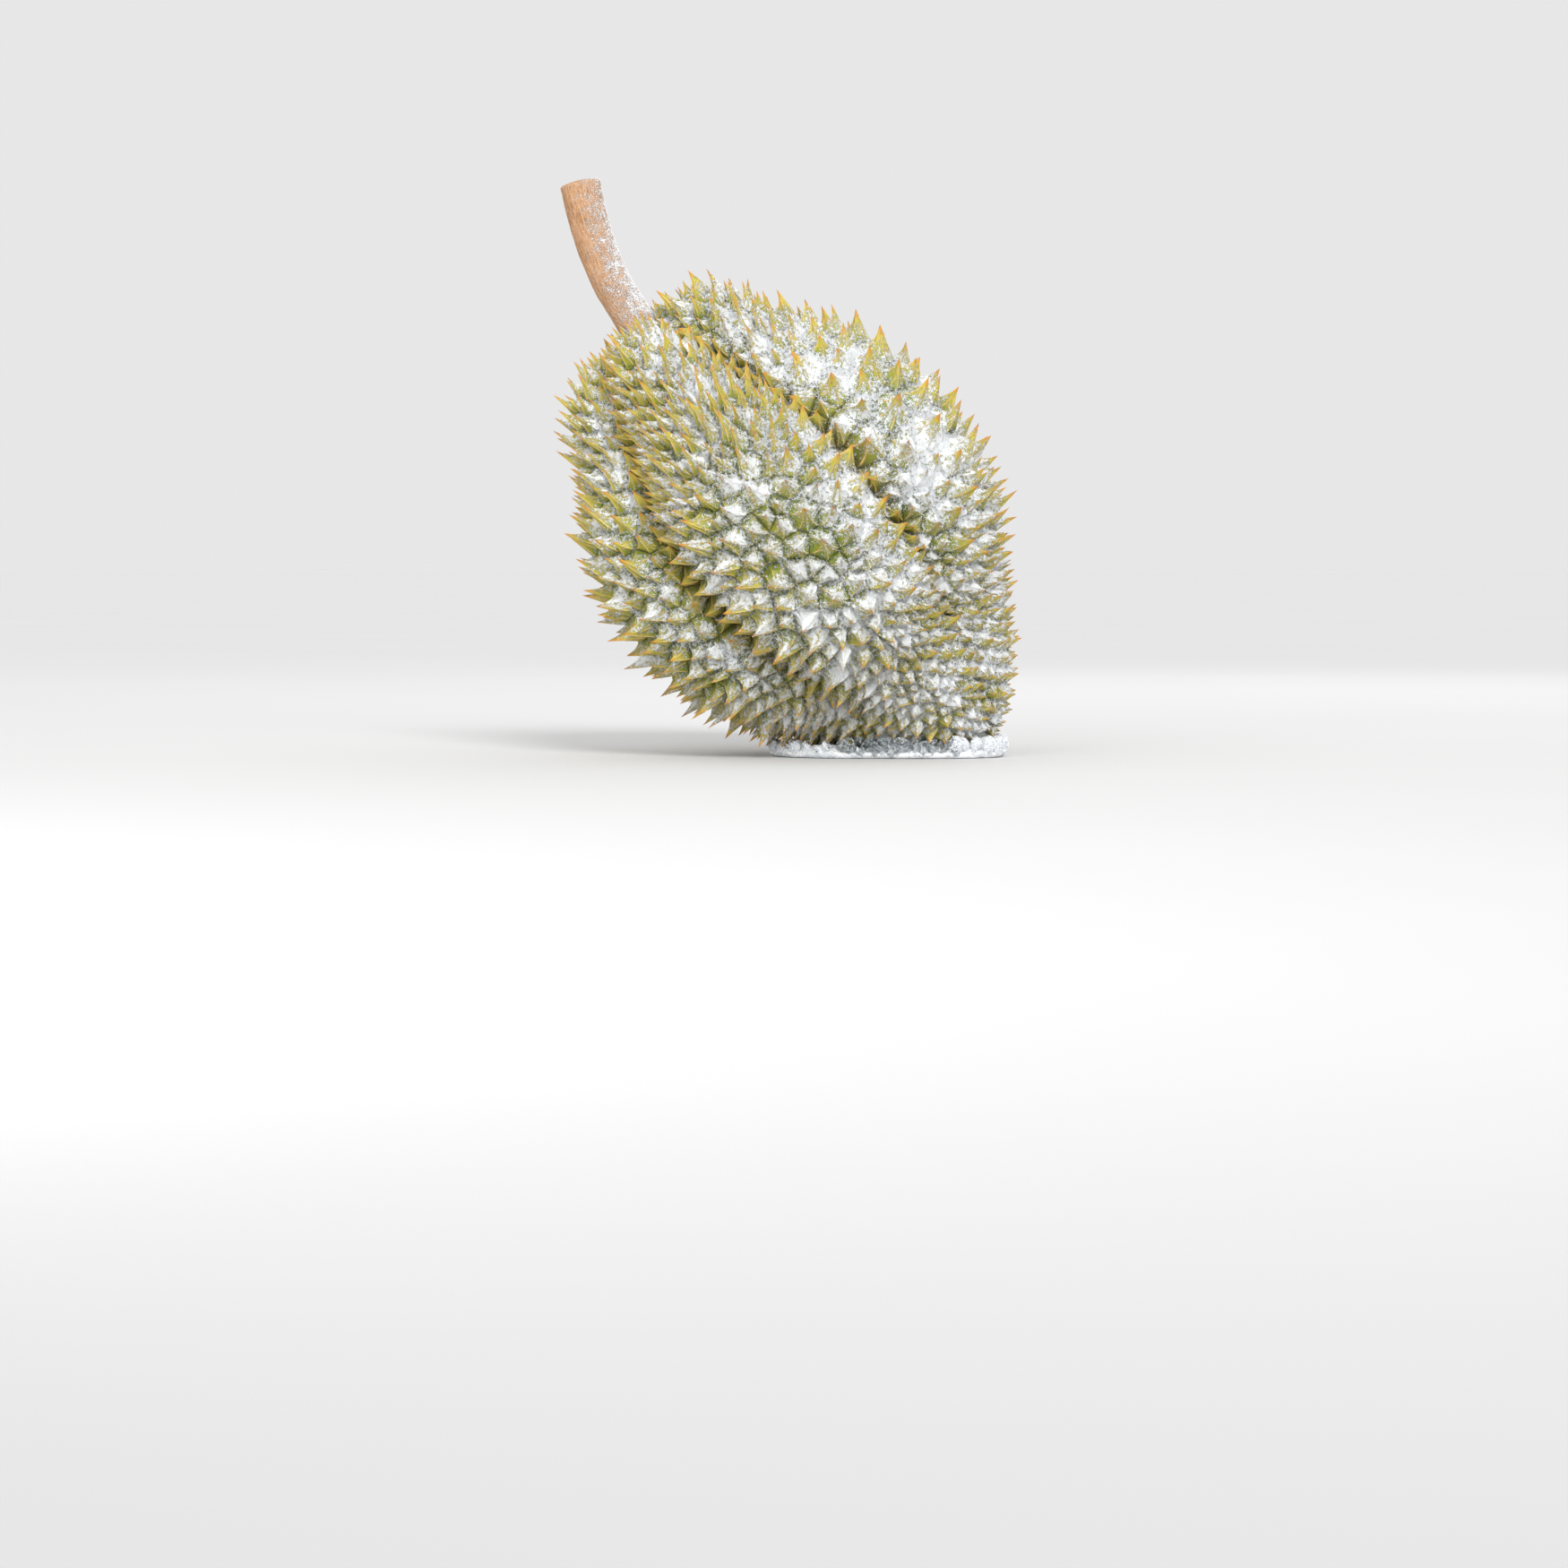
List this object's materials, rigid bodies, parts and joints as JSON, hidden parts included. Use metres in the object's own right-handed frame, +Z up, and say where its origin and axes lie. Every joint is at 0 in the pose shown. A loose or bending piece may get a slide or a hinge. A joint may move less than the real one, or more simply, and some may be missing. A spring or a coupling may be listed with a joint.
{
  "type": "durian",
  "caption": "Whole spiny durian with its woody stem, leaning on the flank of its pointed end in a thin flat patch of clear ice.",
  "frame": {"origin": "middle of the ice patch's flat underside, on the surface that the part lies on", "axes": "+Z up, +X towards the fruit's pointed end, -Y towards the side seen in the picture"},
  "size_m": [0.2339, 0.2193, 0.2895],
  "materials": {
    "husk": "spiny olive-green rind with tan ridges and tips under patchy white frost",
    "stem": "dull tan-brown fibrous bark with fine white frost needles",
    "ice": "clear glossy ice, frosted white in places"
  },
  "bodies": {
    "root": {"husk": "husk", "stem": "stem", "ice": "ice"}
  },
  "joints": []
}
